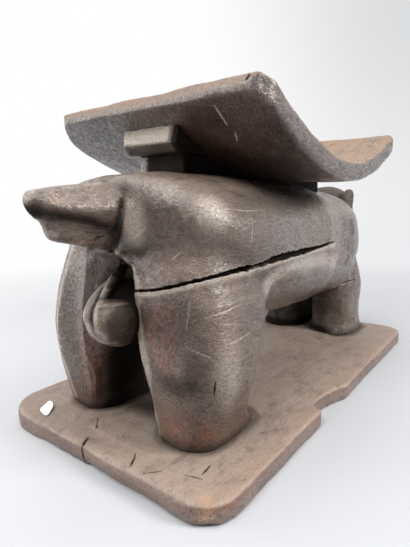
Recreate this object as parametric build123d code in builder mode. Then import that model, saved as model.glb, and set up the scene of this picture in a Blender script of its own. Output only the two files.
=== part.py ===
"""Carved elephant stool: an elephant standing on a thick plate, with a curved seat on its back.

The stool is cut from one block of wood.  Every carved member is a solid of its own here, and
neighbours meet face to face where the carver's cuts divide them.

Millimetres, +Z up.  The origin is the centre of the plate's underside, the elephant looks
along +Y, and +X is its right side.
"""
import os
from math import copysign, cos, pi, sin

from build123d import *

# ------------------------------------------------------------------ driving dimensions
# Plate
plate_width = 220.0
plate_length = 434.0
plate_thickness = 14.0
plate_edge_round = 2.5
rear_left_flare = 4.0         # how far the rear left corner stands out to the left
rear_left_corner_radius = 36.0
rear_right_corner_radius = 24.0
front_right_corner_radius = 26.0
front_left_corner_radius = 32.0
bite_length = 56.0            # the piece that has broken off the plate's right edge
bite_depth = 10.0
bite_rear_y = -66.0

# Body, from the rump over the hips, the waist and the shoulders to the chest
belly_clearance = 53.0        # from the plate up to the lowest part of the belly
body_depth = 137.0            # from the belly up to the back
rump_inset = 27.0             # from the plate's rear edge in to the rump
chest_inset = 13.0            # from the plate's front edge in to the chest
hip_reach = 78.0              # from the rump forward to the widest part of the hips
shoulder_reach = 74.0         # from the chest back to the shoulders
waist_share = 0.434           # place of the waist, as a share of the way to the shoulders
rump_half_width = 30.0
hip_half_width = 85.0
waist_half_width = 77.0
shoulder_half_width = 66.0
chest_half_width = 36.0
rump_height = 44.0
chest_height_share = 0.57     # as a share of the body's depth
rump_drop = 8.0               # how far the top of the rump lies below the back
shoulder_drop = 9.0
hip_lift = 19.0               # how far the underside at the hips lies above the belly
waist_lift = 6.0
chest_lift = 27.0
body_stations = 13
chest_taper = 2.2             # the larger, the later the body narrows towards the chest
body_squareness = 2.6         # outline of a section: 2 is an ellipse, more is boxier
rump_squareness = 2.1
outline_points = 12

# Hind legs: the foot's outline on the plate, and how far each level above it stands out from
# that outline (share of the height from the plate to the hip line, inwards, outwards,
# rearwards, forwards)
right_hind_foot_width = 54.0
left_hind_foot_width = 48.0
hind_foot_length = 82.0
hind_foot_side_inset = 9.0    # from the hips in to the outer side of the foot
hind_foot_rear_inset = 9.0    # from the rump in to the rear of the foot
hind_leg_levels = (
    (0.11, -1, 2, 1, -17),
    (0.38, 4, 11, 5, -19),
    (0.60, 10, 12, 7, -10),
    (0.82, 15, 8, 6, 8),
    (1.18, 17, -7, -3, 16),
)

# Front legs, in the same way
front_foot_width = 60.0
front_foot_length = 78.0
front_foot_front_gain = 5.0   # how far the foot reaches in front of the chest
front_leg_levels = (
    (0.11, -2, -6, -6, -4),
    (0.43, -1, -7, -4, -3),
    (0.67, 0, -9, 2, -8),
    (0.93, 0, -18, 6, -14),
)
foot_roundness = 0.9          # corner radius of a level as a share of the largest it can be
leg_roundness = 0.75

# Tail
tail_length = 57.0
tail_keel_length = 14.0       # how far in front of the tip the underside is cut away
tail_root_half_width = 24.0
tail_keel_half_width = 13.0
tail_tip_half_width = 7.0
tail_root_height = 52.0
tail_keel_height = 29.0
tail_tip_height = 9.0
tail_tip_drop = 16.0          # how far the tip's upper side lies below the back
tail_ridge_rise = 2.0         # how far the tail's upper side rises from the tip to the rump
tail_let_in = 16.0            # how far the tail's root reaches into the rump

# Pouch under the tail
pouch_center_x = 3.0
pouch_half_width = 20.0
pouch_depth = 38.0
pouch_height = 42.0
pouch_overhang = 18.0         # how far it stands out behind the rump
pouch_drop = 19.0             # from the tail's root down to the top of the pouch
pouch_neck_height = 21.0
pouch_neck_lean = 23.0        # how far the neck leans forward into the fork of the legs
pouch_neck_shift = 4.0        # how far the neck stands to the left of the pouch's middle

# Head: sections from the neck to the brow (share of the way forward, how far each side lies
# inside the head's greatest half width, the jaw above its lowest line, the crown below its
# highest)
head_overhang = 42.0          # how far the head stands out in front of the chest
head_length = 84.0
head_half_width = 36.0
head_height_share = 0.525     # as a share of the body's depth
head_drop = 2.0               # how far the top of the head lies below the back
head_levels = (
    (0.00, 4, 6, 8),
    (0.40, 0, 0, 0),
    (0.75, 5, 4, 1),
    (1.00, 11, 14, 9),
)

# Trunk, tusks and ears
trunk_root_half_width = 17.0
trunk_tip_half_width = 10.0
trunk_root_depth = 34.0
trunk_tip_depth = 20.0
trunk_root_setback = 9.0      # from the brow back to the middle of the trunk's root
trunk_root_lift = 22.0        # from the jaw up to the trunk's root
trunk_tip_inset = 14.0        # from the plate's front edge back to the middle of its tip
trunk_levels = 6
tusk_length = 34.0
tusk_root_radius = 5.5
tusk_tip_radius = 2.5
tusk_spread = 22.0
tusk_setback = 12.0           # from the brow back to the tusk's root
tusk_root_lift = 20.0         # from the jaw up to the tusk's root
ear_length = 44.0
ear_height = 40.0
ear_thickness = 8.0
ear_let_in = 4.0              # how deep the front of an ear is let into the head
ear_drop = 10.0               # from the crown down to the top of an ear
ear_lift = 5.0                # how far the rear edge of an ear stands off the neck

# Seat
seat_width = 207.0
seat_rear_inset = 28.0        # from the rump forward to the seat's rear end
seat_front_inset = 56.0       # from the chest back to the seat's front end
seat_thickness = 16.0
seat_end_thickness = 13.0
seat_rear_rise = 41.0         # rise of the seat's rear end over its lowest point
seat_front_rise = 41.0
seat_quarter_rise = 0.30      # share of that rise that is reached half way to an end
seat_under_spread = 4.0       # how much further out the underside reaches that height
seat_bed = 4.0                # how deep the seat is let down into the back
seat_right_corner_radius = 22.0
seat_left_corner_radius = 32.0
seat_edge_round = 3.0

# Lugs under the ends of the seat and the posts that carry them
lug_width = 53.0
lug_chamfer = 6.0
rear_lug_inset = 14.0         # from the seat's end in to the end of the lug
front_lug_inset = 16.0
rear_post_height = 14.0       # from the back up to the lug
front_post_height = 6.0
post_width = 46.0
post_setback = 13.0           # from the end of the lug in to the post

# Paper label on the plate's rear left corner
label_length = 20.0
label_width = 13.0
label_thickness = 0.3
label_corner_radius = 2.0
label_side_inset = 38.0
label_rear_inset = 17.0
label_angle = 121.0

# ------------------------------------------------------------------ derived places
plate_top = plate_thickness
rump_y = rump_inset - plate_length / 2
chest_y = plate_length / 2 - chest_inset
hip_y = rump_y + hip_reach
shoulder_y = chest_y - shoulder_reach
waist_y = hip_y + waist_share * (shoulder_y - hip_y)
belly_z = plate_top + belly_clearance
back_z = belly_z + body_depth
hip_line_z = belly_z + body_depth / 2
chest_low_z = belly_z + chest_lift
chest_top_z = chest_low_z + chest_height_share * body_depth
rump_top_z = back_z - rump_drop
rump_low_z = rump_top_z - rump_height
seat_rear_y = rump_y + seat_rear_inset
seat_front_y = chest_y - seat_front_inset
seat_low_z = back_z - seat_bed
seat_top_low_z = seat_low_z + seat_thickness
seat_rear_z = seat_top_low_z + seat_rear_rise
seat_front_z = seat_top_low_z + seat_front_rise
seat_middle_y = (seat_rear_y + seat_front_y) / 2
head_top_z = back_z - head_drop
head_low_z = head_top_z - head_height_share * body_depth
head_front_y = chest_y + head_overhang
neck_y = head_front_y - head_length

os.makedirs("parts", exist_ok=True)


# ------------------------------------------------------------------ helpers
def finish(piece, name):
    """Label a finished piece and write it as a STEP file of its own."""
    piece.part.label = name
    export_step(piece.part, f"parts/{name}.step")


def between(start, end, share):
    """Value a share of the way from start to end."""
    return start + (end - start) * share


def upright_section(y, half_width, low, high, squareness=body_squareness):
    """Sketch a superellipse that stands across the animal at the station y."""
    middle = (low + high) / 2
    points = []
    for step in range(outline_points):
        turn = 2 * pi * (step + 0.5) / outline_points
        across = copysign(abs(cos(turn)) ** (2 / squareness), cos(turn))
        up = copysign(abs(sin(turn)) ** (2 / squareness), sin(turn))
        points.append((half_width * across, middle + (high - low) / 2 * up))
    with BuildSketch(Plane.XZ.offset(-y)) as section:
        with BuildLine():
            Spline(*points, periodic=True)
        make_face()
    return section.sketch


def level_section(z, sides, roundness):
    """Sketch a rounded level section of a limb; its sides are left x, right x, rear y, front y."""
    left_x, right_x, rear_y, front_y = sides
    width = right_x - left_x
    length = front_y - rear_y
    with BuildSketch(Plane.XY.offset(z)) as section:
        with Locations(((left_x + right_x) / 2, (rear_y + front_y) / 2)):
            RectangleRounded(width, length, roundness * min(width, length) / 2)
    return section.sketch


def board_plan(z, sides, corner_radii, flare=0):
    """Sketch a board's plan at the height z, with a corner arc of its own radius at each end.

    The sides are left x, right x, rear y and front y, and the corners are rear left, rear right,
    front right and front left.
    """
    left_x, right_x, rear_y, front_y = sides
    with BuildSketch(Plane.XY.offset(z)) as plan:
        with BuildLine():
            FilletPolyline(
                (left_x - flare, rear_y), (right_x, rear_y), (right_x, front_y), (left_x, front_y),
                radius=list(corner_radii), close=True,
            )
        make_face()
    return plan.sketch


def clear_of(neighbours):
    """Cut the neighbours' room out of the piece that is being built."""
    for neighbour in neighbours:
        add(neighbour.part, mode=Mode.SUBTRACT)


# ------------------------------------------------------------------ seat
# The side profile is two smooth curves, above and below, joined by the thick ends.
tip_reach = 0.75 * seat_end_thickness
tip_drop = 0.8 * seat_end_thickness
rear_quarter_y = (seat_rear_y + seat_middle_y) / 2
front_quarter_y = (seat_front_y + seat_middle_y) / 2
with BuildPart() as seat:
    with BuildSketch(Plane.YZ.offset(-seat_width / 2)):
        with BuildLine():
            top_curve = Spline(
                (seat_rear_y + tip_reach, seat_rear_z),
                (rear_quarter_y, seat_top_low_z + seat_quarter_rise * seat_rear_rise),
                (seat_middle_y, seat_top_low_z),
                (front_quarter_y, seat_top_low_z + seat_quarter_rise * seat_front_rise),
                (seat_front_y - tip_reach, seat_front_z),
            )
            under_curve = Spline(
                (seat_front_y, seat_front_z - tip_drop),
                (front_quarter_y + seat_under_spread,
                 seat_low_z + seat_quarter_rise * seat_front_rise),
                (seat_middle_y, seat_low_z),
                (rear_quarter_y - seat_under_spread,
                 seat_low_z + seat_quarter_rise * seat_rear_rise),
                (seat_rear_y, seat_rear_z - tip_drop),
            )
            Line(top_curve @ 1, under_curve @ 0)
            Line(under_curve @ 1, top_curve @ 0)
        make_face()
    extrude(amount=seat_width)
    seat_sides = (-seat_width / 2, seat_width / 2, seat_rear_y, seat_front_y)
    seat_corners = (seat_left_corner_radius, seat_right_corner_radius,
                    seat_right_corner_radius, seat_left_corner_radius)
    extrude(board_plan(belly_z, seat_sides, seat_corners), amount=2 * body_depth,
            mode=Mode.INTERSECT)
    fillet(seat.edges(), seat_edge_round)
finish(seat, "seat")


# ------------------------------------------------------------------ body
def ease(share):
    """Share of a change that is level at both its ends."""
    return (1 - cos(pi * share)) / 2


def body_section(y):
    """Section of the body at the station y: rump, hips to waist, waist to shoulders, or chest."""
    hips = (hip_half_width, belly_z + hip_lift, back_z, body_squareness)
    waist = (waist_half_width, belly_z + waist_lift, back_z, body_squareness)
    shoulders = (shoulder_half_width, belly_z, back_z - shoulder_drop, body_squareness)
    chest = (chest_half_width, chest_low_z, chest_top_z, body_squareness)
    rump = (rump_half_width, rump_low_z, rump_top_z, rump_squareness)
    if y < hip_y:
        share = (y - rump_y) / (hip_y - rump_y)
        swell = (1 - (1 - share) ** body_squareness) ** (1 / body_squareness)
        start, end, shares = rump, hips, (swell, share, swell, share)
    elif y < waist_y:
        start, end, shares = hips, waist, [ease((y - hip_y) / (waist_y - hip_y))] * 4
    elif y < shoulder_y:
        start, end, shares = waist, shoulders, [ease((y - waist_y) / (shoulder_y - waist_y))] * 4
    else:
        fall = ((y - shoulder_y) / (chest_y - shoulder_y)) ** chest_taper
        start, end, shares = shoulders, chest, [fall] * 4
    return upright_section(y, *(between(*pair) for pair in zip(start, end, shares)))


# The stations crowd towards both ends, where the body rounds off.
with BuildPart() as body:
    loft([
        body_section(between(rump_y, chest_y, ease(step / (body_stations - 1))))
        for step in range(body_stations)
    ])
    clear_of([seat])
finish(body, "body")


# ------------------------------------------------------------------ tail
def tail_section(y, half_width, low, high):
    """Six-sided section of the tail: flat above, an edge on each side and a keel below."""
    edge_z = between(low, high, 0.6)
    with BuildSketch(Plane.XZ.offset(-y)) as section:
        with BuildLine():
            Polyline(
                (-0.45 * half_width, high), (0.45 * half_width, high), (half_width, edge_z),
                (0.3 * half_width, low), (-0.3 * half_width, low), (-half_width, edge_z),
                close=True,
            )
        make_face()
    return section.sketch


tail_tip_y = rump_y - tail_length
tail_tip_top_z = back_z - tail_tip_drop
tail_root_low_z = rump_top_z - tail_root_height
with BuildPart() as tail:
    loft([
        tail_section(tail_tip_y, tail_tip_half_width, tail_tip_top_z - tail_tip_height,
                     tail_tip_top_z),
        tail_section(tail_tip_y + tail_keel_length, tail_keel_half_width,
                     tail_tip_top_z - tail_keel_height, tail_tip_top_z + tail_ridge_rise),
        tail_section(rump_y + tail_let_in, tail_root_half_width,
                     tail_root_low_z + tail_ridge_rise, rump_top_z + tail_ridge_rise),
    ], ruled=True)
    clear_of([body])
finish(tail, "tail")


# ------------------------------------------------------------------ pouch
def pouch_section(z, width_share, depth_share, forward, shift=0.0):
    """Round level section of the pouch, as shares of its full width and depth."""
    half_width = pouch_half_width * width_share
    half_depth = pouch_depth / 2 * depth_share
    center_x = pouch_center_x - shift
    center_y = rump_y - pouch_overhang + pouch_depth / 2 + forward
    sides = (center_x - half_width, center_x + half_width,
             center_y - half_depth, center_y + half_depth)
    return level_section(z, sides, 0.95)


pouch_top_z = tail_root_low_z - pouch_drop
with BuildPart() as pouch:
    loft([
        pouch_section(pouch_top_z - pouch_height, 0.5, 0.45, 2),
        pouch_section(pouch_top_z - 0.86 * pouch_height, 0.8, 0.82, 0),
        pouch_section(pouch_top_z - 0.5 * pouch_height, 1.0, 1.0, 0),
        pouch_section(pouch_top_z - 0.1 * pouch_height, 0.5, 0.6, 4, pouch_neck_shift / 2),
        pouch_section(pouch_top_z + pouch_neck_height, 0.35, 0.7, pouch_neck_lean,
                      pouch_neck_shift),
    ])
    clear_of([body, tail])
finish(pouch, "pouch")


# ------------------------------------------------------------------ legs
def leg(side, foot_sides, levels):
    """Loft a leg from its foot on the plate up into the body; side is 1 for right, -1 for left."""
    inner_x, outer_x, rear_y, front_y = foot_sides
    rows = ((0.0, 0, 0, 0, 0), *levels)
    sections = []
    for share, inwards, outwards, rearwards, forwards in rows:
        near_x = side * (inner_x - inwards)
        far_x = side * (outer_x + outwards)
        sides = (min(near_x, far_x), max(near_x, far_x), rear_y - rearwards, front_y + forwards)
        roundness = foot_roundness if share == 0 else leg_roundness
        sections.append(level_section(between(plate_top, hip_line_z, share), sides, roundness))
    with BuildPart() as limb:
        loft(sections)
        clear_of([body, tail, pouch])
    return limb


hind_outer_x = hip_half_width - hind_foot_side_inset
hind_rear_y = rump_y + hind_foot_rear_inset
front_outer_x = shoulder_half_width
front_front_y = chest_y + front_foot_front_gain
legs = {}
for side_name, side, hind_foot_width in (
    ("right", 1, right_hind_foot_width),
    ("left", -1, left_hind_foot_width),
):
    hind_foot = (hind_outer_x - hind_foot_width, hind_outer_x, hind_rear_y,
                 hind_rear_y + hind_foot_length)
    front_foot = (front_outer_x - front_foot_width, front_outer_x,
                  front_front_y - front_foot_length, front_front_y)
    legs[f"hind_leg_{side_name}"] = leg(side, hind_foot, hind_leg_levels)
    legs[f"front_leg_{side_name}"] = leg(side, front_foot, front_leg_levels)
for leg_name, limb in legs.items():
    finish(limb, leg_name)

# ------------------------------------------------------------------ head
with BuildPart() as head:
    loft([
        upright_section(between(neck_y, head_front_y, share), head_half_width - side_inset,
                        head_low_z + jaw_lift, head_top_z - crown_drop)
        for share, side_inset, jaw_lift, crown_drop in head_levels
    ])
    clear_of([body, seat, *legs.values()])
finish(head, "head")


# ------------------------------------------------------------------ trunk
def trunk_section(share):
    """Level section of the trunk, a share of the way from its tip on the plate to its root."""
    half_width = between(trunk_tip_half_width, trunk_root_half_width, share)
    half_depth = between(trunk_tip_depth, trunk_root_depth, share) / 2
    tip_y = plate_length / 2 - trunk_tip_inset
    root_y = head_front_y - trunk_root_setback
    center_y = between(root_y, tip_y, (1 - share) ** 2)
    sides = (-half_width, half_width, center_y - half_depth, center_y + half_depth)
    return level_section(between(plate_top, head_low_z + trunk_root_lift, share), sides, 0.85)


with BuildPart() as trunk:
    loft([trunk_section(step / (trunk_levels - 1)) for step in range(trunk_levels)])
    clear_of([body, head, *legs.values()])
finish(trunk, "trunk")

# ------------------------------------------------------------------ tusks and ears
for side_name, side in (("right", 1), ("left", -1)):
    tusk_root = Plane(
        origin=(side * tusk_spread, head_front_y - tusk_setback, head_low_z + tusk_root_lift),
        z_dir=(side * 0.1, 0.45, -1),
    )
    with BuildPart() as tusk:
        with BuildSketch(tusk_root):
            Circle(tusk_root_radius)
        with BuildSketch(tusk_root.offset(tusk_length)):
            Circle(tusk_tip_radius)
        loft()
        clear_of([head, trunk, body])
    finish(tusk, f"tusk_{side_name}")

    ear_slope = ear_lift / ear_length
    ear_front = Plane(
        origin=(side * (head_half_width - ear_let_in), neck_y + ear_length, head_top_z - ear_drop),
        x_dir=(-side * ear_slope, 1, 0),
        z_dir=(side, ear_slope, 0),
    )
    drop = -side * ear_height
    with BuildPart() as ear:
        with BuildSketch(ear_front):
            with BuildLine():
                ear_rim = Spline(
                    (0, 0), (-0.75 * ear_length, -0.05 * drop), (-ear_length, 0.3 * drop),
                    (-0.7 * ear_length, 0.8 * drop), (-0.3 * ear_length, drop),
                )
                Line(ear_rim @ 1, ear_rim @ 0)
            make_face()
        extrude(amount=ear_thickness)
        clear_of([head, body])
    finish(ear, f"ear_{side_name}")

# ------------------------------------------------------------------ lugs and posts
# The room below the curved underside of the seat, which they fill along the middle.
with BuildPart(mode=Mode.PRIVATE) as below_seat:
    with BuildSketch(Plane.YZ.offset(-lug_width / 2)):
        with BuildLine():
            add(under_curve)
            Polyline(under_curve @ 1, (seat_rear_y, hip_line_z), (seat_front_y, hip_line_z),
                     under_curve @ 0)
        make_face()
    extrude(amount=lug_width)

for end_name, end_y, inward, post_height in (
    ("rear", seat_rear_y + rear_lug_inset, 1, rear_post_height),
    ("front", seat_front_y - front_lug_inset, -1, front_post_height),
):
    reach = abs(end_y - seat_middle_y)
    lug_low_z = back_z + post_height
    with BuildPart() as lug:
        with BuildSketch(Plane.XY.offset(lug_low_z)):
            with Locations((0, end_y + inward * reach / 2)):
                Rectangle(lug_width, reach)
        extrude(amount=body_depth)
        add(below_seat.part, mode=Mode.INTERSECT)
        end_face = lug.faces().sort_by(Axis.Y)[0 if inward == 1 else -1]
        chamfer(end_face.edges().filter_by(Axis.X), lug_chamfer)
    finish(lug, f"seat_lug_{end_name}")
    with BuildPart() as post:
        with BuildSketch(Plane.XY.offset(hip_line_z)):
            with Locations((0, end_y + inward * (post_setback + reach / 2))):
                Rectangle(post_width, reach)
        extrude(amount=lug_low_z - hip_line_z)
        add(below_seat.part, mode=Mode.INTERSECT)
        clear_of([body, head])
    finish(post, f"seat_post_{end_name}")

# ------------------------------------------------------------------ plate
right_edge_x = plate_width / 2
with BuildPart() as base_plate:
    plate_sides = (-right_edge_x, right_edge_x, -plate_length / 2, plate_length / 2)
    plate_corners = (rear_left_corner_radius, rear_right_corner_radius,
                     front_right_corner_radius, front_left_corner_radius)
    extrude(board_plan(0, plate_sides, plate_corners, rear_left_flare), amount=plate_thickness)
    fillet(base_plate.faces().sort_by(Axis.Z)[-1].edges(), plate_edge_round)
    with BuildSketch():
        with BuildLine():
            Polyline(
                (right_edge_x, bite_rear_y),
                (right_edge_x - bite_depth, bite_rear_y + 0.08 * bite_length),
                (right_edge_x - 0.9 * bite_depth, bite_rear_y + 0.45 * bite_length),
                (right_edge_x - 0.5 * bite_depth, bite_rear_y + 0.8 * bite_length),
                (right_edge_x, bite_rear_y + bite_length),
                (right_edge_x + bite_depth, bite_rear_y + bite_length / 2),
                close=True,
            )
        make_face()
    extrude(amount=plate_thickness, mode=Mode.SUBTRACT)
finish(base_plate, "base_plate")

# ------------------------------------------------------------------ paper label
label_center = (label_side_inset - right_edge_x, label_rear_inset - plate_length / 2, plate_top)
with BuildPart() as paper_label:
    with BuildSketch(Plane(origin=label_center).rotated((0, 0, label_angle))):
        RectangleRounded(label_length, label_width, label_corner_radius)
    extrude(amount=label_thickness)
finish(paper_label, "paper_label")
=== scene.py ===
"""Carved elephant stool: hand-carved, worn wood dressed around a fixed frame.

Every wooden piece takes its shape from the solid that it replaces.  The elephant's solids are
skinned as one block, carved further as a carver's tools and long use would leave it, and parted
again at the same cuts.  The pouch, the tusks, the seat, its lugs and posts and the plate are carved
singly.  The label is a thin sheet of its own, laid where its solid lies.
"""
import functools
import math
import random

import bmesh
import bpy
import numpy as np
from bpy.props import FloatProperty, IntProperty, PointerProperty, StringProperty
from bpy.types import Operator, Panel, PropertyGroup
from mathutils import Matrix, Vector, noise
from mathutils.bvhtree import BVHTree
from mathutils.kdtree import KDTree


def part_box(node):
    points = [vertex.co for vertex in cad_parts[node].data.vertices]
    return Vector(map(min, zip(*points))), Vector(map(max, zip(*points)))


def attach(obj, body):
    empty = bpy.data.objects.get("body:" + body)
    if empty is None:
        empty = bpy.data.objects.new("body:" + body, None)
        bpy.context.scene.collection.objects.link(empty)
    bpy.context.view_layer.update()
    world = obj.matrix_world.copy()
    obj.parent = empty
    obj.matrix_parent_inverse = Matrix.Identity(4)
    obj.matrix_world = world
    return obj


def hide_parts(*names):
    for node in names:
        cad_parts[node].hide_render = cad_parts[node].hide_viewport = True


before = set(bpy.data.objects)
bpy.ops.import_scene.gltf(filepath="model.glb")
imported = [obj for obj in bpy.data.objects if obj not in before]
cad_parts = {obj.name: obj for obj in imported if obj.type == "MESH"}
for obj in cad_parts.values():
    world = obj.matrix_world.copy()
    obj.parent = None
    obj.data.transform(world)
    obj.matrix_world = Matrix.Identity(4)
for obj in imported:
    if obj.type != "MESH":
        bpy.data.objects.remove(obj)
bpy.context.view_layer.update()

bl_info = {
    "name": "Carved elephant stool",
    "version": (1, 0, 0),
    "blender": (4, 5, 0),
    "location": "View3D > Sidebar > Stool",
    "description": "Carves and colours the pieces of a one-block elephant stool",
    "category": "Add Mesh",
}

# Paths, places and reaches are in millimetres; only what is given to Blender is in metres
MM = 0.001

LEG_NODES = ("hind_leg_right", "hind_leg_left", "front_leg_right", "front_leg_left")
# Pieces of the elephant that are skinned and carved as one block
ELEPHANT_NODES = ("body", *LEG_NODES, "tail", "head", "trunk", "ear_right", "ear_left")
SEAT_SUPPORTS = ("seat_lug_rear", "seat_lug_front", "seat_post_rear", "seat_post_front")
PLATE_TOP = 14.0


# ------------------------------------------------------------------ settings
class CarvingSettings(PropertyGroup):
    """Sizes of the tool marks and of the damage."""
    skin_step: FloatProperty(
        name="Skin step", description="Spacing of the points on the elephant's skin",
        default=2.0 * MM, unit="LENGTH")
    board_step: FloatProperty(
        name="Board step", description="Spacing of the points on the seat and the plate",
        default=1.8 * MM, unit="LENGTH")
    fine_step: FloatProperty(
        name="Fine step", description="Spacing of the points on the pouch, the lugs and the posts",
        default=1.1 * MM, unit="LENGTH")
    tusk_step: FloatProperty(
        name="Tusk step", description="Spacing of the points on the tusks",
        default=0.9 * MM, unit="LENGTH")
    crack_depth: FloatProperty(
        name="Crack depth", description="Depth of the shrinkage crack along the flank",
        default=7.0 * MM, unit="LENGTH")
    seed: IntProperty(
        name="Seed", description="Start of the random draws of the tool marks", default=7)


class WoodSettings(PropertyGroup):
    """Colours of the old wood."""
    patina: StringProperty(
        name="Patina", description="Dark brown of the handled wood", default="#3F2C22")
    patina_light: StringProperty(
        name="Light patina", description="Grey-brown of the drier wood", default="#665040")
    seat_dark: StringProperty(
        name="Dark seat", description="Almost black brown of the seat", default="#33211A")
    seat_light: StringProperty(
        name="Light seat", description="Lighter brown of the seat", default="#5E453A")
    plate_dark: StringProperty(
        name="Dark plate", description="Grey-brown of the dusty plate", default="#6B574E")
    plate_light: StringProperty(
        name="Light plate", description="Lighter grey-brown of the dusty plate", default="#8A776A")
    # Also the pale of the painted highlights on lit patches, strips and faces
    worn: StringProperty(
        name="Worn wood", description="Pale wood on rubbed ridges", default="#B5A798")
    red: StringProperty(
        name="Red wood", description="Red-brown heartwood where the patina is rubbed off",
        default="#7A3F24")
    dust: StringProperty(
        name="Dust", description="Warm grey dust on what faces up", default="#A59686")
    tan: StringProperty(
        name="Tan wood", description="Wood rubbed bare by sitting", default="#927860")
    raw: StringProperty(
        name="Raw wood", description="Fresh wood in chips and scratches", default="#B98F5E")
    # Black of grime in cracks and hollows and of beetle holes, and also of painted shade in gaps, creases,
    # sheltered faces and where the feet meet the plate
    soot: StringProperty(
        name="Soot", description="Black of the places that no hand reaches", default="#15100E")
    pore: StringProperty(
        name="Pores", description="Dark brown of the open pores", default="#231915")
    grain: FloatProperty(
        name="Grain", description="Spacing of the grain's lines", default=1.4 * MM, unit="LENGTH")


class StageSettings(PropertyGroup):
    """Floor and light."""
    # The floor's colour is darker on the right than on the left, as painted shade
    floor: StringProperty(
        name="Floor", description="Colour of the floor on the right", default="#AAABAE")
    floor_left: StringProperty(
        name="Left floor", description="Colour of the floor on the left", default="#C4C5C7")
    top_power: FloatProperty(
        name="Top power", description="Power of the large lamp above, in watts", default=9.0)
    rear_power: FloatProperty(
        name="Rear power", description="Power of the small lamp above the rear, in watts", default=8.5)
    right_power: FloatProperty(
        name="Right power", description="Power of the lamp on the right, in watts", default=17.0)
    left_power: FloatProperty(
        name="Left power", description="Power of the lamp on the left, in watts", default=5.5)
    wall_light: FloatProperty(
        name="Wall", description="Strength of the light of the wall behind the stool", default=1.0)


# ------------------------------------------------------------------ carving
# A patch has its full strength in its middle, and noise is spread to about -1 to 1
PATCH_CORE, NOISE_GAIN = 1.3, 1.6
# How many points tell where the surface lies, and how it lies beside an edge
SURFACE_POINTS, EDGE_POINTS = 5, 8
# Spacing of the points that an edge is cut at, and rounds that smooth its sides along it
EDGE_SPACING, EDGE_SMOOTHING = 2.5, 3
# Share of its reach that each further division of the faces keeps
REFINE_SHARE = 0.7
# Adze flats: how many meet at a point, and how much they may lean there
FLATS_THAT_MEET, LEAST_SLOPE = 4, 0.6
# Width over which the surface steps down, and from which a groove has its full depth
STEP_WIDTH, FULL_WIDTH = 1.2, 1.5
GROOVE_LUMPS = 3.0
# Rounds of smoothing against which a ridge stands out
RIDGE_SMOOTHING = 10
# How far the solids grow before they are skinned, so that neighbours overlap
SKIN_GROWTH = 0.2 * MM


def path_distance(points, path):
    """Distance of each point to a line through the path, and how far along the line it is."""
    path = np.asarray(path, dtype=float)
    best = np.full(len(points), np.inf)
    along = np.zeros(len(points))
    runs = len(path) - 1
    for run in range(runs):
        start = path[run]
        step = path[run + 1] - start
        share = np.clip((points - start) @ step / max(step @ step, 1e-9), 0.0, 1.0)
        distance = np.linalg.norm(points - start - share[:, None] * step, axis=1)
        nearer = distance < best
        best[nearer] = distance[nearer]
        along[nearer] = (run + share[nearer]) / runs
    return best, along


def ripple(points, size, seed=0.0):
    """Smooth noise between about -1 and 1 at each point, with lumps of the given size."""
    scaled = points / size + seed
    return np.array([noise.noise(Vector(place)) for place in scaled]) * NOISE_GAIN


def fade(values):
    """Smooth step from 0 to 1 of values that are cut to that range first."""
    cut = np.clip(values, 0.0, 1.0)
    return cut * cut * (3.0 - 2.0 * cut)


def above(values, start, reach):
    """Soft step: 0 up to the start and 1 beyond the reach."""
    return fade((values - start) / reach)


def below(values, start, reach):
    """Soft step: 0 down to the start and 1 beyond the reach."""
    return fade((start - values) / reach)


def band(points, path, reach, core=1.0):
    """Soft band along a path; a core above 1 keeps its middle at full strength."""
    return fade(core - path_distance(points, path)[0] / reach)


def soft_patches(points, patches):
    """Sum of soft patches; each has a strength, a centre and a reach along x, y and z."""
    total = np.zeros(len(points))
    for strength, centre, spans in patches:
        offset = np.linalg.norm((points - centre) / spans, axis=1)
        total += strength * fade(PATCH_CORE * (1 - offset))
    return total


def run_out(along, steepness=8, least=0.05):
    """Share of a cut that is left as it runs out at both ends of its path."""
    return fade(np.minimum(along, 1 - along) * steepness + least)


def unit(direction):
    """Direction of length one."""
    vector = np.array(direction, dtype=float)
    return vector / np.linalg.norm(vector)


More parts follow.
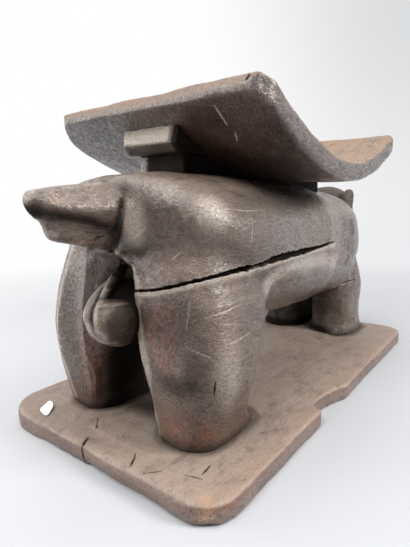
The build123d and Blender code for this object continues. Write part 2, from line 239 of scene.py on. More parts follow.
class Carving:
    """Points of a mesh in millimetres, which are moved as a carver's tools move a surface."""

    def __init__(self, mesh):
        self.mesh = mesh
        self.read()

    def read(self):
        """Take the points and edges from the mesh."""
        count = len(self.mesh.vertices)
        places = np.empty(count * 3)
        self.mesh.vertices.foreach_get("co", places)
        self.points = places.reshape(-1, 3) / MM
        ends = np.empty(len(self.mesh.edges) * 2, dtype=np.int32)
        self.mesh.edges.foreach_get("vertices", ends)
        self.edges = ends.reshape(-1, 2)
        self.links = np.maximum(np.bincount(self.edges.ravel(), minlength=count), 1)
        self.tree = None

    def write(self):
        """Give the points back to the mesh."""
        self.mesh.vertices.foreach_set("co", (self.points * MM).ravel())
        self.mesh.update()

    def normals(self):
        """Outward direction at each point."""
        self.write()
        facing = np.empty(len(self.points) * 3)
        self.mesh.vertex_normals.foreach_get("vector", facing)
        return facing.reshape(-1, 3)

    def mean_of_neighbours(self, values):
        """Mean of the values at each point's neighbours."""
        first, second = self.edges.T
        count = len(values)
        total = np.stack([
            np.bincount(first, column[second], count) + np.bincount(second, column[first], count)
            for column in values.T
        ], axis=1)
        return total / self.links[:, None]

    def relax(self, rounds, strength=1.0):
        """Smooth the surface; strength may differ from point to point."""
        share = 0.5 * np.broadcast_to(strength, len(self.points))[:, None]
        for _ in range(rounds):
            self.points += share * (self.mean_of_neighbours(self.points) - self.points)

    def point_tree(self):
        """Search tree of all the points, as they lay when the mesh was last read."""
        if self.tree is None:
            self.tree = KDTree(len(self.points))
            for index, place in enumerate(self.points):
                self.tree.insert(place, index)
            self.tree.balance()
        return self.tree

    def surface_near(self, place, facing, count):
        """Mean place and outward direction of the points that lie nearest to a place."""
        near = [found[1] for found in self.point_tree().find_n(place, count)]
        return self.points[near].mean(axis=0), unit(facing[near].mean(axis=0))

    def snap(self, path, spacing=3.0):
        """Points along a path, about the spacing apart, each laid on the surface."""
        facing = self.normals()
        laid = []
        for place in spread(path, spacing):
            spot, direction = self.surface_near(place, facing, SURFACE_POINTS)
            laid.append(place + direction * ((spot - place) @ direction))
        return np.array(laid)

    def refine(self, paths, reach, times=1):
        """Divide the faces near some paths more finely, so that what is cut there can be narrow."""
        self.write()
        shape = bmesh.new()
        shape.from_mesh(self.mesh)
        for _ in range(times):
            shape.verts.ensure_lookup_table()
            shape.verts.index_update()
            places = np.array([vert.co for vert in shape.verts]) / MM
            near = np.zeros(len(places), dtype=bool)
            for path in paths:
                near |= path_distance(places, path)[0] < reach
            edges = [
                edge for edge in shape.edges
                if near[edge.verts[0].index] and near[edge.verts[1].index]
            ]
            bmesh.ops.subdivide_edges(shape, edges=edges, cuts=1, use_grid_fill=True)
            reach *= REFINE_SHARE
        shape.to_mesh(self.mesh)
        shape.free()
        self.read()

    def cut(self, place, facing):
        """Saw off all that stands outside a plane."""
        direction = unit(facing)
        height = np.maximum((self.points - place) @ direction, 0.0)
        self.points -= height[:, None] * direction

    def sharpen(self, path, reach, gain, limit=3.0):
        """Bring the surfaces on both sides of a path together in a crisp arris along it."""
        line = self.snap(path, EDGE_SPACING)
        facing = self.normals()
        sides = []
        for place, step in zip(line, np.gradient(line, axis=0)):
            across = unit(np.cross(step, self.surface_near(place, facing, EDGE_POINTS)[1]))
            for sign in (1, -1):
                spot = place + sign * reach * across
                sides.append(np.concatenate(self.surface_near(spot, facing, EDGE_POINTS)))
        sides = np.array(sides).reshape(len(line), 2, 6)
        smooth = sides.copy()
        for _ in range(EDGE_SMOOTHING):
            smooth[1:-1] = (smooth[:-2] + smooth[1:-1] + smooth[2:]) / 3
        distance, along = path_distance(self.points, line)
        near = np.flatnonzero(distance < reach)
        position = along[near] * (len(line) - 1)
        start = np.minimum(position.astype(int), len(line) - 2)
        share = (position - start)[:, None, None]
        planes = smooth[start] * (1 - share) + smooth[start + 1] * share
        places, flats = planes[:, :, :3], planes[:, :, 3:]
        flats = flats + gain * (flats - flats[:, ::-1])
        flats /= np.linalg.norm(flats, axis=2)[:, :, None]
        middle = flats.sum(axis=1)
        middle /= np.linalg.norm(middle, axis=1)[:, None]
        rise = ((places - self.points[near][:, None]) * flats).sum(axis=2)
        rise /= (flats * middle[:, None]).sum(axis=2)
        height = np.clip(rise.min(axis=1), -limit, limit)
        height *= below(distance[near], reach, 0.35 * reach)
        height *= run_out(along[near], steepness=10)
        self.points[near] += height[:, None] * middle

    def hew(self, count, share, tilt, seed, where, limit=1.0):
        """Dress the chosen points with flats that meet in low ridges, as an adze leaves them."""
        dice = random.Random(seed)
        facing = self.normals()
        chosen = np.flatnonzero(where)
        picks = [int(chosen[dice.randrange(len(chosen))]) for _ in range(count)]
        tree = KDTree(count)
        for number, pick in enumerate(picks):
            tree.insert(self.points[pick], number)
        tree.balance()
        centres = self.points[picks]
        tilts = np.array([[dice.gauss(0, tilt) for _ in range(3)] for _ in picks])
        flats = facing[picks] + tilts
        flats /= np.linalg.norm(flats, axis=1)[:, None]
        near = np.array([
            [found[1] for found in tree.find_n(self.points[index], FLATS_THAT_MEET)]
            for index in chosen
        ])
        height = np.full(len(chosen), limit)
        for column in near.T:
            slope = (facing[chosen] * flats[column]).sum(axis=1)
            rise = ((centres[column] - self.points[chosen]) * flats[column]).sum(axis=1)
            met = slope > LEAST_SLOPE
            height[met] = np.minimum(height[met], rise[met] / slope[met])
        height = np.clip(height, -limit, limit)
        height -= height.mean()
        self.points[chosen] += share * height[:, None] * facing[chosen]

    def step(self, path, downward, drop, reach):
        """Set the surface back on one side of a path, with a crisp edge along the path."""
        line = np.array(path, dtype=float)
        distance, along = path_distance(self.points, line)
        position = along * (len(line) - 1)
        run = np.minimum(position.astype(int), len(line) - 2)
        centre = line[run] + (line[run + 1] - line[run]) * (position - run)[:, None]
        side = (self.points - centre) @ unit(downward)
        share = above(side, 0, STEP_WIDTH) * below(distance, reach, 0.6 * reach) * run_out(along)
        self.points -= self.normals() * (drop * share)[:, None]

    def groove(self, path, widths, depth, rough=0.0, seed=0.0):
        """Cut a groove of changing width along a path; returns how deep each point lies in it."""
        distance, along = path_distance(self.points, path)
        width = np.interp(along, np.linspace(0, 1, len(widths)), widths)
        near = distance < width
        edge = width / 2
        if rough:
            edge[near] *= 1 + rough * ripple(self.points[near], GROOVE_LUMPS, seed)
        cut = np.clip(1 - distance / np.maximum(edge, 1e-3), 0, 1) ** 0.5
        deep = depth * np.minimum(1, width / FULL_WIDTH)
        self.points -= self.normals() * (deep * cut)[:, None]
        return cut

    def swell(self, place, reach, amount):
        """Raise the surface round a place, or sink it where the amount is negative."""
        distance = np.linalg.norm(self.points - place, axis=1)
        self.points += self.normals() * (amount * fade(1 - distance / reach))[:, None]

    def raise_path(self, path, reach, amount):
        """Raise a rounded ridge along a path, or sink a valley."""
        distance, along = path_distance(self.points, path)
        ends = run_out(along, least=0.1)
        self.points += self.normals() * (amount * fade(1 - distance / reach) * ends)[:, None]

    def roughen(self, size, height, seed=0.0):
        """Move the surface in and out by smooth noise."""
        self.points += self.normals() * (height * ripple(self.points, size, seed))[:, None]

    def store(self, name, values):
        """Keep a value for each point in the mesh, for its material."""
        attribute = self.mesh.attributes.get(name)
        if attribute is None:
            attribute = self.mesh.attributes.new(name, "FLOAT", "POINT")
        attribute.data.foreach_set("value", np.asarray(values, dtype=np.float32))

    def store_ridges(self, scale=0.7):
        """Store how far each point stands above (or below) the smoothed surface."""
        facing = self.normals()
        smooth = self.points.copy()
        for _ in range(RIDGE_SMOOTHING):
            smooth += 0.5 * (self.mean_of_neighbours(smooth) - smooth)
        height = ((self.points - smooth) * facing).sum(axis=1)
        self.store("ridge", np.clip(height / scale, -1.0, 1.0))


def spread(path, spacing):
    """Points along a path, about the spacing apart, with all of the path's own points."""
    line = np.array(path, dtype=float)
    laid = []
    for start, end in zip(line[:-1], line[1:]):
        steps = max(1, int(np.linalg.norm(end - start) / spacing))
        laid.extend(start + (end - start) * step / steps for step in range(steps))
    laid.append(line[-1])
    return np.array(laid)


def flipped(path, side):
    """The path itself on the right side (1), or its mirror image on the left (-1)."""
    return np.array(path, dtype=float) * (side, 1, 1)


def merged_mesh(nodes, grow):
    """One mesh of merged copies of the solids, each grown a little so that neighbours overlap."""
    joined = bmesh.new()
    for name in nodes:
        shape = bmesh.new()
        shape.from_mesh(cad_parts[name].data)
        bmesh.ops.remove_doubles(shape, verts=shape.verts, dist=0.001 * MM)
        for vert in shape.verts:
            vert.co += vert.normal * grow
        part = bpy.data.meshes.new(name)
        shape.to_mesh(part)
        shape.free()
        joined.from_mesh(part)
        bpy.data.meshes.remove(part)
    mesh = bpy.data.meshes.new("block")
    joined.to_mesh(mesh)
    joined.free()
    return mesh


def skinned(nodes, step):
    """One even skin round the solids, as a mesh."""
    block = bpy.data.objects.new("block", merged_mesh(nodes, SKIN_GROWTH))
    bpy.context.collection.objects.link(block)
    skin = block.modifiers.new("skin", "REMESH")
    skin.mode = "VOXEL"
    skin.voxel_size = step
    bpy.context.view_layer.update()
    view = bpy.context.evaluated_depsgraph_get()
    mesh = bpy.data.meshes.new_from_object(block.evaluated_get(view))
    source = block.data
    bpy.data.objects.remove(block)
    bpy.data.meshes.remove(source)
    return mesh


def nearest_node(mesh, nodes, margin=12 * MM):
    """For each face of the mesh, the number of the node whose solid lies nearest."""
    centres = np.empty(len(mesh.polygons) * 3)
    mesh.polygons.foreach_get("center", centres)
    centres = centres.reshape(-1, 3)
    best = np.full(len(centres), np.inf)
    label = np.zeros(len(centres), dtype=int)
    for number, name in enumerate(nodes):
        low, high = (np.array(corner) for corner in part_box(name))
        near = np.all((centres > low - margin) & (centres < high + margin), axis=1)
        shape = bmesh.new()
        shape.from_mesh(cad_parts[name].data)
        tree = BVHTree.FromBMesh(shape)
        shape.free()
        for index in np.flatnonzero(near):
            distance = tree.find_nearest(Vector(centres[index]))[3]
            if distance < best[index]:
                best[index] = distance
                label[index] = number
    return label


def part_block(mesh, nodes, skirt_depth=2.5 * MM):
    """Part a carved block at the cuts between its solids; every part is closed again."""
    label = nearest_node(mesh, nodes)
    facing = np.empty(len(mesh.vertices) * 3, dtype=np.float32)
    mesh.vertex_normals.foreach_get("vector", facing)
    keep = mesh.attributes.new("facing", "FLOAT_VECTOR", "POINT")
    keep.data.foreach_set("vector", facing)
    parts = {}
    for number, name in enumerate(nodes):
        shape = bmesh.new()
        shape.from_mesh(mesh)
        shape.faces.ensure_lookup_table()
        others = [shape.faces[index] for index in np.flatnonzero(label != number)]
        bmesh.ops.delete(shape, geom=others, context="FACES")
        # The closing faces lie below the skin, where the neighbour hides them
        outward = shape.verts.layers.float_vector["facing"]
        open_edges = [edge for edge in shape.edges if edge.is_boundary]
        skirt = bmesh.ops.extrude_edge_only(shape, edges=open_edges)["geom"]
        for vert in skirt:
            if isinstance(vert, bmesh.types.BMVert):
                vert.co -= vert[outward] * skirt_depth
        open_edges = [edge for edge in shape.edges if edge.is_boundary]
        bmesh.ops.holes_fill(shape, edges=open_edges, sides=0)
        part = bpy.data.meshes.new(name)
        shape.to_mesh(part)
        shape.free()
        parts[name] = part
    return parts


# ------------------------------------------------------------------ materials
def linear(code):
    """Linear colour, with an alpha of one, of an sRGB hex code."""
    values = [int(code[place:place + 2], 16) / 255 for place in (1, 3, 5)]
    return tuple(
        value / 12.92 if value <= 0.04045 else ((value + 0.055) / 1.055) ** 2.4 for value in values
    ) + (1.0,)


def add_node(tree, kind, inputs=None, **settings):
    """Add a node with its settings, and set or link its inputs."""
    node = tree.nodes.new(kind)
    for name, value in settings.items():
        setattr(node, name, value)
    for socket, value in (inputs or {}).items():
        if isinstance(value, bpy.types.NodeSocket):
            tree.links.new(value, node.inputs[socket])
        else:
            node.inputs[socket].default_value = value
    return node


def smooth_step(tree, value, low, high, top=1.0, bottom=0.0):
    """Smooth step of a value, from the bottom at the low to the top at the high."""
    return add_node(tree, "ShaderNodeMapRange", {
        "Value": value, "From Min": low, "From Max": high, "To Min": bottom, "To Max": top},
        interpolation_type="SMOOTHSTEP").outputs[0]


def blend(tree, share, first, second):
    """Mix of two colours; the share is that of the second."""
    return add_node(tree, "ShaderNodeMix", {0: share, 6: first, 7: second},
                    data_type="RGBA").outputs[2]


def bare_tree(owner):
    """Node tree of a material or a world, emptied."""
    owner.use_nodes = True
    owner.node_tree.nodes.clear()
    return owner.node_tree


def old_hardwood(name, tint, roughness=0.34, dustiness=0.3, top="dust", waxy=1.0):
    """Hand-carved hardwood under a hundred years of handling.

    The eye sees a waxy brown skin with a broad, speckled sheen, darker in its hollows, rubbed
    pale on its ridges and red where the skin has gone, with grain and fine stray scratches.
    """
    wood = bpy.context.scene.stool_wood
    dark, light = linear(tint[0]), linear(tint[1])
    worn, black = linear(wood.worn), linear(wood.soot)
    material = bpy.data.materials.new(name)
    tree = bare_tree(material)
    place = add_node(tree, "ShaderNodeTexCoord").outputs["Object"]
    facing = add_node(tree, "ShaderNodeNewGeometry").outputs["Normal"]
    upward = add_node(tree, "ShaderNodeSeparateXYZ", {0: facing}).outputs["Z"]
    marks = {
        mark: add_node(tree, "ShaderNodeAttribute", attribute_name=mark).outputs["Fac"]
        for mark in ("ridge", "red", "soot", "polish", "raw", "worm")
    }

    def clouds(size_mm, stretch=(1, 1, 1), turn=(0, 0, 0), detail=4.0, rough=0.55):
        """Noise with lumps of a size, drawn out along its second axis."""
        laid = add_node(tree, "ShaderNodeMapping", {
            "Vector": place, "Rotation": turn, "Scale": tuple(1 / share for share in stretch)})
        return add_node(tree, "ShaderNodeTexNoise", {
            "Vector": laid.outputs[0], "Scale": 1 / (size_mm * MM), "Detail": detail,
            "Roughness": rough}).outputs["Fac"]

    def math_of(kind, first, second):
        """Sum, product or the like of two values."""
        return add_node(tree, "ShaderNodeMath", {0: first, 1: second}, operation=kind).outputs[0]

    times = functools.partial(math_of, "MULTIPLY")
    plus = functools.partial(math_of, "ADD")
    minus = functools.partial(math_of, "SUBTRACT")
    between = functools.partial(smooth_step, tree)
    mixed = functools.partial(blend, tree)

    patches = clouds(55, stretch=(1, 1.8, 1), detail=6, rough=0.62)
    mottle = clouds(9, stretch=(1, 1.8, 1), detail=7, rough=0.72)
    grit = clouds(2.4, stretch=(1, 2.2, 1), detail=4, rough=0.75)
    pores = clouds(1.1, stretch=(1, 2.5, 1), detail=3, rough=0.7)
    grain = clouds(wood.grain / MM, stretch=(1, 26, 1), detail=5, rough=0.6)
    # Stray scratches in three directions, half a millimetre wide and some centimetres long
    scratches = 0.0
    for turn in ((0.4, 0.5, 0.9), (1.2, 0.1, -0.7), (-0.5, 1.1, 0.2)):
        lines = clouds(0.6, stretch=(1, 50, 1), turn=turn, detail=1)
        layer = times(between(lines, 0.70, 0.76), between(mottle, 0.48, 0.56))
        scratches = math_of("MAXIMUM", scratches, layer)

    # Layers of the skin: the clouds that each follows, from and to which value, how strongly it
    # shows, and its colour
    colour = dark
    for cloud, low, high, share, tone in (
            (patches, 0.40, 0.60, 0.75, light),
            (mottle, 0.50, 0.66, 0.5, light),
            (mottle, 0.46, 0.34, 0.6, dark),
            (grain, 0.48, 0.62, 0.5, dark),
            (pores, 0.53, 0.66, 0.5, light),
            (pores, 0.47, 0.36, 0.6, linear(wood.pore))):
        colour = mixed(between(cloud, low, high, share), colour, tone)
    reddish = times(between(mottle, 0.36, 0.56), between(grit, 0.36, 0.56, 0.8))
    dusty = times(between(upward, 0.1, 0.95, dustiness), between(mottle, 0.26, 0.54))
    speckled = between(pores, 0.25, 0.55)
    ridge = times(between(marks["ridge"], 0.3, 1.0), between(mottle, 0.36, 0.6, 0.5))
    # Marks, each laid over the ones before it: how strongly it shows, and its colour
    for share, tone in (
            (times(marks["red"], reddish), linear(wood.red)),
            (dusty, linear(getattr(wood, top))),
            # Rubbed wear and painted highlights, both in pale worn wood
            (times(marks["polish"], speckled), worn),
            (ridge, worn),
            (between(marks["ridge"], -0.15, -0.9, 0.7), black),
            (times(marks["raw"], speckled), linear(wood.raw)),
            (between(pores, 0.60, 0.72, 0.25), worn),
            (times(scratches, 0.4), worn),
            # Grime in cracks and hollows, and painted shade in gaps, creases and sheltered places, in
            # black
            (marks["soot"], black)):
        colour = mixed(share, colour, tone)
    # Bore holes of wood beetles, a millimetre across and some four millimetres apart
    cells = add_node(tree, "ShaderNodeTexVoronoi", {
        "Vector": place, "Scale": 1 / (3.8 * MM)}).outputs["Distance"]
    holes = times(between(cells, 0.24, 0.16), marks["worm"])
    colour = mixed(holes, colour, black)

    gloss = plus(between(patches, 0.40, 0.60, 0.10), roughness - 0.05)
    gloss = plus(gloss, times(dusty, 0.35))
    gloss = plus(gloss, times(marks["soot"], 0.4))
    height = minus(pores, times(scratches, 0.5))
    for layer, share in ((grit, 1.6), (grain, 0.6), (mottle, 2.6)):
        height = plus(height, times(layer, share))
    bump = add_node(tree, "ShaderNodeBump", {"Height": height, "Distance": 0.5 * MM}).outputs[0]
    smooth_bump = add_node(tree, "ShaderNodeBump", {
        "Height": height, "Distance": 0.25 * MM}).outputs[0]
    # A thin skin of wax and hand grease, thinnest where dust, grime and painted shade lie
    wax = minus(between(grit, 0.38, 0.56, waxy), plus(dusty, marks["soot"]))
    surface = add_node(tree, "ShaderNodeBsdfPrincipled", {
        "Base Color": colour, "Roughness": gloss, "Normal": bump, "IOR": 1.55,
        # Less reflection where grime and painted shade lie, so that the painted shade stays dark
        "Specular IOR Level": minus(0.5, times(marks["soot"], 0.45)),
        "Coat Weight": math_of("MAXIMUM", wax, 0.0), "Coat Roughness": 0.2, "Coat IOR": 1.5,
        "Coat Normal": smooth_bump}).outputs[0]
    add_node(tree, "ShaderNodeOutputMaterial", {"Surface": surface})
    return material


PAPER_SHADE, PAPER_WHITE = "#E3E6EE", "#F6F7FA"


def price_paper():
    """Coated white paper sticker: flat, cool white and almost matt."""
    material = bpy.data.materials.new("coated paper")
    tree = bare_tree(material)
    place = add_node(tree, "ShaderNodeTexCoord").outputs["Object"]
    fibres = add_node(tree, "ShaderNodeTexNoise", {
        "Vector": place, "Scale": 1 / (1.2 * MM), "Detail": 3.0}).outputs["Fac"]
    colour = blend(tree, fibres, linear(PAPER_SHADE), linear(PAPER_WHITE))
    bump = add_node(tree, "ShaderNodeBump", {"Height": fibres, "Distance": 0.03 * MM}).outputs[0]
    surface = add_node(tree, "ShaderNodeBsdfPrincipled", {
        "Base Color": colour, "Roughness": 0.6, "Normal": bump}).outputs[0]
    add_node(tree, "ShaderNodeOutputMaterial", {"Surface": surface})
    return material


def add_piece(name, mesh, material, nodes):
    """Show a finished mesh in place of its solids, on the one body of the stool."""
    piece = bpy.data.objects.new(name, mesh)
    bpy.context.collection.objects.link(piece)
    mesh.materials.clear()
    mesh.materials.append(material)
    mesh.shade_smooth()
    facing = mesh.attributes.get("facing")
    if facing is not None:
        values = np.empty(len(mesh.vertices) * 3, dtype=np.float32)
        facing.data.foreach_get("vector", values)
        mesh.attributes.remove(facing)
        mesh.normals_split_custom_set_from_vertices(values.reshape(-1, 3).tolist())
    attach(piece, "root")
    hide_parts(*nodes)


# ------------------------------------------------------------------ elephant
# Points along each crack, crease and edge, with the widths of the cuts along some of them
FLANK_CRACK = (
    (-6, -166, 122), (8, -176, 121), (19, -181, 121.4), (41, -185, 125.4), (56, -184, 129.6),
    (67, -179, 132.9), (75, -170, 135.2), (79, -154, 136.7), (82, -134, 137.4), (85, -116, 140.2),
    (85, -86, 141.5), (80, -41, 140.5), (77, 1, 140.8), (74, 41, 142.5),
)
FLANK_CRACK_WIDTHS = (1.4, 1.6, 1.9, 2.0, 2.4, 3.6, 5.2, 5.6, 5.4, 5.8, 4.0, 2.8, 2.4, 1.2)
FRONT_LEG_CRACK = ((50, 112, 80), (52, 137, 80.3), (58, 148, 83.2), (58, 168, 82.2))
LEG_CRACK_WIDTHS = (1.0, 1.8, 1.8, 1.0)
TAIL_CREASE = (
    (18, -191, 184), (20, -194, 176), (16, -193, 168), (12, -191, 160), (8, -190, 153), (-6, -183, 145),
)
TAIL_VALLEY = (
    (4, -246, 175), (9, -241, 172), (12, -233, 171), (14, -223, 169), (15, -212, 166.5), (16, -198, 161),
)
TAIL_CLEFT = ((-28, -184, 148), (-19, -186, 145), (-10, -186, 143), (-3, -184, 141))
HIND_INNER_EDGE = (
    (-2, -184, 151), (6, -185, 140), (13, -185, 130), (17, -184.5, 122), (17.5, -184.5, 108),
    (19, -184, 90), (22, -183, 76), (24, -182, 60), (26, -180, 38), (29, -178, 20),
)
HIND_CHAMFER_WIDTHS = (10, 9, 9, 9, 7, 7.5, 8, 8, 8, 7)
LEFT_OUTER_EDGE = (
    (-52, -184, 152), (-56, -188, 126), (-60, -189, 102), (-65, -188, 84), (-66, -187, 71),
    (-62, -186, 45), (-58, -183, 22),
)
LEFT_INNER_EDGE = (
    (-31, -186, 147), (-33, -189, 109), (-36, -189, 80), (-34, -187, 62), (-33, -184, 45), (-35, -182, 22),
)
LEFT_KNEE_BREAK = ((-70, -180, 71), (-64, -187, 70), (-52, -189, 71), (-40, -188.5, 77))
FLANK_ARRIS = (
    (84, -112, 126), (84, -100, 132), (83, -77, 134), (79, -38, 133), (77, 0, 132), (71, 56, 122),
)
POUCH_OUTER_RIDGE = (
    (-5, -181, 139), (-6, -188, 130), (-6, -196, 121), (-7.5, -202, 112), (-6, -205, 107),
    (-2, -208, 102), (3, -208, 96), (9, -205, 91), (16, -199, 88),
)
POUCH_INNER_RIDGE = (
    (-2, -184, 134), (1, -192, 126), (4.5, -200, 117), (6, -205, 110), (7.5, -207.5, 104), (9, -208, 98),
    (12, -205, 93),
)
# How far the bowl is set back behind the rim
HOLLOW_CUT = (-3, 11, 0)
POUCH_RIM = ((6, -206, 112), (9.5, -203, 113.5), (14.3, -198, 114.7), (20, -188, 114.6))
# Scratches: ends or corners of each
PALE_SCRATCHES = (
    ((25, -190, 158), (37, -189.5, 166)),
    ((49.5, -181, 145), (57, -178, 151)),
    ((82.4, -137, 168), (84.3, -139.5, 155)),
    ((76, -158, 177), (79, -139, 175.5), (78.4, -115, 175.3)),
    ((82.5, -170, 106), (86, -158, 104)),
    ((85.5, -169, 93), (87, -144, 95)),
    ((67.4, -186.6, 92.6), (79.6, -179, 86.5)),
    ((75.7, -179, 111), (83.6, -151, 115.5)),
    ((66.7, -182.4, 121.7), (66.3, -186, 103)),
)
FRESH_SCRATCHES = (
    ((6.5, -240, 187), (11.5, -236, 180)),
    ((6.5, -236.5, 187.4), (11.5, -232.5, 181)),
    ((6.5, -233.5, 187.8), (11.5, -229.5, 182)),
)
DARK_CHECKS = (
    ((81.7, -176.8, 69.8), (80.8, -176.7, 60.8)),
    ((7.5, -206, 157), (8.8, -204, 159), (9.6, -200.5, 159.5)),
)
# Patches: strength, centre and reach along x, y and z
# Red: the right hind leg, its foot, the flank above the front leg, the rump and the left hind leg
RED_PATCHES = (
    (0.9, (48, -187, 95), (22, 26, 40)),
    (0.7, (60, -178, 30), (44, 30, 16)),
    (0.5, (74, 40, 128), (14, 60, 16)),
    (0.35, (40, -186, 140), (44, 20, 26)),
    (0.7, (-30, -184, 60), (20, 20, 60)),
)
# Dark: the right hind leg at four places, the left one as painted shade, and the back under the seat as
# the seat's painted shadow
DARK_PATCHES = (
    (0.55, (58, -186, 64), (26, 16, 12)),
    (0.45, (72, -184, 76), (12, 16, 20)),
    (0.8, (12, -188, 122), (11, 12, 9)),
    (0.45, (56, -188, 104), (34, 20, 30)),
    (0.35, (-52, -188, 95), (15, 12, 70)),
    (0.75, (62, -50, 186), (60, 130, 22)),
)
# Painted highlights, laid on as pale rubbed wood: the rump beside the tail, the tail's root, the hip's
# corner, the back and the tail's top
PAINTED_HIGHLIGHTS = (
    (0.65, (74, -167, 176), (18, 18, 20)),
    (0.7, (27, -190, 171), (14, 14, 24)),
    (0.35, (86, -168, 72), (10, 18, 40)),
    (0.2, (60, -188, 190), (40, 20, 14)),
    (0.1, (10, -232, 184), (12, 14, 8)),
)
# The way across the chamfer of the right hind leg's inner edge
CHAMFER_ACROSS = (0.89, -0.45, 0.0)
# Height at which the legs flow into the body, and how far that reaches up and down
HIP_HEIGHT, HIP_REACH = 125, 50
# How far the feet may go down into the plate
FOOT_SINK = 0.5


class STOOL_OT_carve_elephant(Operator):
    """Carve the elephant from one block and part it at the carver's cuts"""
    bl_idname = "stool.carve_elephant"
    bl_label = "Carve the elephant"

    def execute(self, context):
        carving = context.scene.stool_carving
        block = Carving(skinned(ELEPHANT_NODES, carving.skin_step))
        self.soften(block)
        # Broad flats from the knees up, and steeper ones from the hips down
        height = block.points[:, 2]
        block.hew(count=300, share=0.45, tilt=0.03, seed=carving.seed, where=height > 60)
        block.hew(count=260, share=0.6, tilt=0.045, seed=carving.seed + 1, where=height < 118)
        block.relax(2)
        strips = self.cut_edges(block)
        self.carve_tail(block)
        block.roughen(24, 0.3, seed=3.0)
        block.roughen(4.5, 0.05, seed=9.0)
        marks = self.open_cracks(block)
        marks["worn"] += [(block.snap(strip), reach) for strip, reach in strips]
        block.points[:, 2] = np.maximum(block.points[:, 2], PLATE_TOP - FOOT_SINK)
        self.paint(block, marks)
        block.write()

        wood = context.scene.stool_wood
        material = old_hardwood("waxed hardwood", (wood.patina, wood.patina_light))
        for name, mesh in part_block(block.mesh, ELEPHANT_NODES).items():
            add_piece("carved_" + name, mesh, material, [name])
        bpy.data.meshes.remove(block.mesh)
        return {"FINISHED"}

    def soften(self, block):
        """Let the members flow into each other; the thin tail and ears keep their shape."""
        x, y, z = block.points.T
        tail, ears = y < -196, (y > 160) & (z > 120)
        thin = tail | ears
        block.relax(8, np.where(thin, 0.35, 1.0))
        joint = fade(1 - np.abs(z - HIP_HEIGHT) / HIP_REACH)
        tail_root = (y < -184) & (np.abs(x) < 34) & (z > 128)
        block.relax(36, np.where(thin | tail_root, 0.0, joint))

    def cut_edges(self, block):
        """Cut the crisp edges of the legs and the flank; returns the strips that are painted pale, as wear
        and as a painted highlight.
        """
        chamfer = [
            np.array(place) + width * unit(CHAMFER_ACROSS)
            for place, width in zip(HIND_INNER_EDGE, HIND_CHAMFER_WIDTHS)
        ]
        # Each with its reach to both sides and how much its sides are turned apart
        edges = (
            (HIND_INNER_EDGE, 4.5, 1.0), (chamfer, 4.5, 1.0), (LEFT_OUTER_EDGE, 8, 0.5),
            (LEFT_INNER_EDGE, 8, 0.6), (LEFT_KNEE_BREAK, 7, 1.0), (FLANK_ARRIS, 13, 0.5),
        )
        valleys = [flipped(TAIL_VALLEY, side) for side in (1, -1)]
        block.refine([*(edge[0] for edge in edges[:-1]), TAIL_CREASE, *valleys], 9)
        cracks = [FLANK_CRACK, FRONT_LEG_CRACK, *PALE_SCRATCHES, *FRESH_SCRATCHES, *DARK_CHECKS]
        block.refine([block.snap(crack) for crack in cracks], 6, 2)
        for edge, reach, gain in edges:
            block.sharpen(edge, reach, gain)
        right_strip = (np.array(HIND_INNER_EDGE) + chamfer) / 2
        left_strip = np.array(LEFT_OUTER_EDGE) + (-3.5, 1.5, 0)
        return [(right_strip, 5.0), (left_strip, 3.6)]

    def carve_tail(self, block):
        """Set the tail's lower side back under its flanks and cut the crease at its root."""
        for side in (1, -1):
            valley = block.snap(flipped(TAIL_VALLEY, side))
            block.raise_path(valley + (0, 0, 6), 8, 1.0)
            block.step(valley, (0, 0, -1), 1.6, 14)
            block.raise_path(valley, 3.4, -2.0)
            rump = flipped(np.array(TAIL_CREASE) + (6, 0, 0), side)
            block.raise_path(block.snap(rump), 9, 1.6)
            crease = block.snap(flipped(TAIL_CREASE, side))
            block.raise_path(crease, 4, -1.6)
            block.raise_path(crease, 2.0, -2.4)
        block.raise_path(block.snap(TAIL_CLEFT), 3.0, -2.4)

    def open_cracks(self, block):
        """Open the cracks and scratches; returns how they mark each point, and the worn lip."""
        flank = block.snap(FLANK_CRACK)
        lip = flank + (0, 0, -3.2)
        block.raise_path(lip, 3.4, 0.6)
        depth = bpy.context.scene.stool_carving.crack_depth / MM
        cut = block.groove(flank, FLANK_CRACK_WIDTHS, depth, rough=0.35)
        leg = block.groove(block.snap(FRONT_LEG_CRACK), LEG_CRACK_WIDTHS, 3.5, rough=0.3, seed=4.0)
        # Grime and painted shade darken the insides of the cracks and the dark checks; the lip below the
        # flank crack is worn pale
        marks = {"worn": [(lip, 2.2)], "soot": np.maximum(cut, leg)}
        for mark, paths, widths, deep in (
                ("soot", DARK_CHECKS, (0.8, 1.4, 0.6), 1.5),
                ("pale", PALE_SCRATCHES, (0.7, 1.5, 0.5), 0.25),
                ("fresh", FRESH_SCRATCHES, (0.6, 1.3, 0.6), 0.4)):
            for path in paths:
                cut = block.groove(block.snap(path), widths, deep)
                marks[mark] = np.maximum(marks.get(mark, 0.0), cut)
        return marks

    def paint(self, block, marks):
        """Store where the wood is red, raw or bored by beetles, where it is rubbed pale or has painted
        highlights, and where it is dark with grime or painted shade.
        """
        block.store_ridges()
        places = block.points
        x, y, z = places.T
        dark = soft_patches(places, DARK_PATCHES)
        # Painted shade in the valleys under the tail's flanks, in the creases at its root and in its cleft
        for side in (1, -1):
            dark += 0.85 * band(places, flipped(TAIL_VALLEY, side) + (0, 0, 1.5), 6.5, core=1.3)
            dark += 0.7 * band(places, flipped(TAIL_CREASE, side), 4)
        dark += 0.5 * band(places, TAIL_CLEFT, 6)
